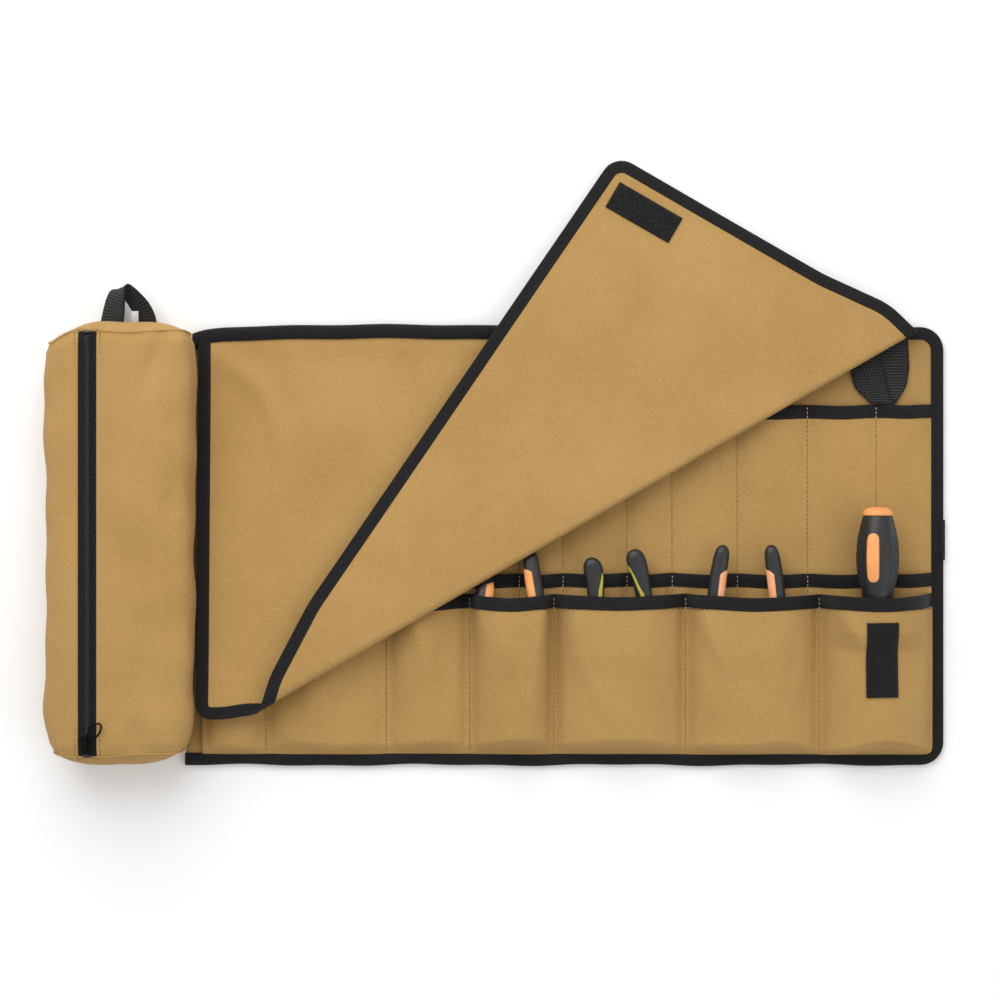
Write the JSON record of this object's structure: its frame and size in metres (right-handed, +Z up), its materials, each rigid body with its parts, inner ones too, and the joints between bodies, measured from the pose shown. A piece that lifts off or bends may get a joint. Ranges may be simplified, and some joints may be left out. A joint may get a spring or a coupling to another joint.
{
  "type": "electrician tool roll",
  "caption": "Canvas tool roll laid open, with tiers of tool pockets, a cover flap with one corner turned back, a zipped end case, hanging loops and tools in the pockets.",
  "frame": {"origin": "centre of the roll's back face, where the opened roll lies on a table", "axes": "+X along the roll away from the zipped case, +Y to the hanging edge, +Z up out of the pockets"},
  "size_m": [0.718, 0.4785, 0.0705],
  "materials": {
    "canvas": "coyote brown polyester canvas, plain weave",
    "binding_tape": "black woven binding tape",
    "touch_tape": "black hook and loop tape",
    "webbing": "black ribbed webbing",
    "zip_tape": "black zip tape",
    "zip_coil": "black nylon coil",
    "zip_metal": "black lacquered metal",
    "label": "white woven label, blank",
    "tool_grip": "black soft grip",
    "tool_inlay": "orange moulded grip",
    "tool_steel": "phosphated steel"
  },
  "bodies": {
    "roll": {"back_panel": "canvas", "edge_binding": "binding_tape", "hook_tape": "touch_tape", "lower_pocket_binding": "binding_tape", "lower_pocket_panel": "canvas", "middle_pocket_binding": "binding_tape", "middle_pocket_panel": "canvas", "upper_pocket_binding": "binding_tape", "upper_pocket_panel": "canvas"},
    "case": {"care_label": "label", "case_back": "canvas", "case_front_panel": "canvas", "case_left_gusset": "canvas", "case_lower_end": "canvas", "case_right_gusset": "canvas", "case_upper_end": "canvas", "case_zip_facing": "canvas", "zip_coil": "zip_coil", "zip_end_stops": "zip_coil", "zip_tape_left": "zip_tape", "zip_tape_right": "zip_tape"},
    "zip_slider": {"zip_slider": "zip_metal"},
    "zip_pull": {"zip_pull": "zip_metal"},
    "left_loop": {"left_hang_loop": "webbing"},
    "right_loop": {"right_hang_loop": "webbing"},
    "strap": {"closing_strap": "webbing", "closing_strap_tip": "touch_tape"},
    "flap": {"flap_panel": "canvas", "flap_binding": "binding_tape"},
    "flap_corner": {"flap_turned_corner": "canvas", "flap_corner_binding": "binding_tape", "loop_tape": "touch_tape", "flap_fold": "canvas"},
    "pliers_a": {"pliers_a_grips": "tool_grip", "pliers_a_head": "tool_steel", "pliers_a_pivot": "tool_steel"},
    "pliers_b": {"pliers_b_grips": "tool_grip", "pliers_b_head": "tool_steel", "pliers_b_pivot": "tool_steel"},
    "pliers_c": {"pliers_c_grips": "tool_grip", "pliers_c_head": "tool_steel", "pliers_c_pivot": "tool_steel"},
    "screwdriver": {"screwdriver_blade": "tool_steel", "screwdriver_cap": "tool_inlay", "screwdriver_handle": "tool_grip", "screwdriver_inlay": "tool_inlay"}
  },
  "joints": [
    {"name": "case_fold", "type": "hinge", "parent": "roll", "child": "case", "pos_m": [-0.3, 0, 0.0005], "axis": [0, 1, 0], "range_deg": [-90, 0]},
    {"name": "zip_slide", "type": "slide", "parent": "case", "child": "zip_slider", "axis": [0, 1, 0], "range_m": [0, 0.312]},
    {"name": "zip_pull_swing", "type": "hinge", "parent": "zip_slider", "child": "zip_pull", "pos_m": [-0.374, -0.153, 0.0663], "axis": [0.7071, -0.7071, 0], "range_deg": [0, 95]},
    {"name": "left_loop_swing", "type": "hinge", "parent": "case", "child": "left_loop", "pos_m": [-0.349, 0.1784, 0.0078], "axis": [1, 0, 0], "range_deg": [0, 40]},
    {"name": "right_loop_lift", "type": "hinge", "parent": "roll", "child": "right_loop", "pos_m": [0.25, 0.171, 0.0053], "axis": [-1, 0, 0], "range_deg": [0, 4]},
    {"name": "strap_swing", "type": "hinge", "parent": "roll", "child": "strap", "pos_m": [0.301, 0.005, -0.0002], "axis": [0, -1, 0], "range_deg": [0, 175]},
    {"name": "flap_lift", "type": "hinge", "parent": "roll", "child": "flap", "pos_m": [0, 0.1755, 0.0075], "axis": [-1, 0, 0], "range_deg": [0, 100]},
    {"name": "flap_corner_turn", "type": "hinge", "parent": "flap", "child": "flap_corner", "pos_m": [0.275, 0.173, 0.01065], "axis": [0.8673, 0.4963, -0.0379], "range_deg": [0, 140]},
    {"name": "pliers_a_pull", "type": "slide", "parent": "roll", "child": "pliers_a", "axis": [0, 1, 0], "range_m": [0, 0.003]},
    {"name": "pliers_b_pull", "type": "slide", "parent": "roll", "child": "pliers_b", "axis": [0, 1, 0], "range_m": [0, 0.012]},
    {"name": "pliers_c_pull", "type": "slide", "parent": "roll", "child": "pliers_c", "axis": [0, 1, 0], "range_m": [0, 0.05]},
    {"name": "screwdriver_pull", "type": "slide", "parent": "roll", "child": "screwdriver", "axis": [0, 1, 0], "range_m": [0, 0.1]}
  ]
}
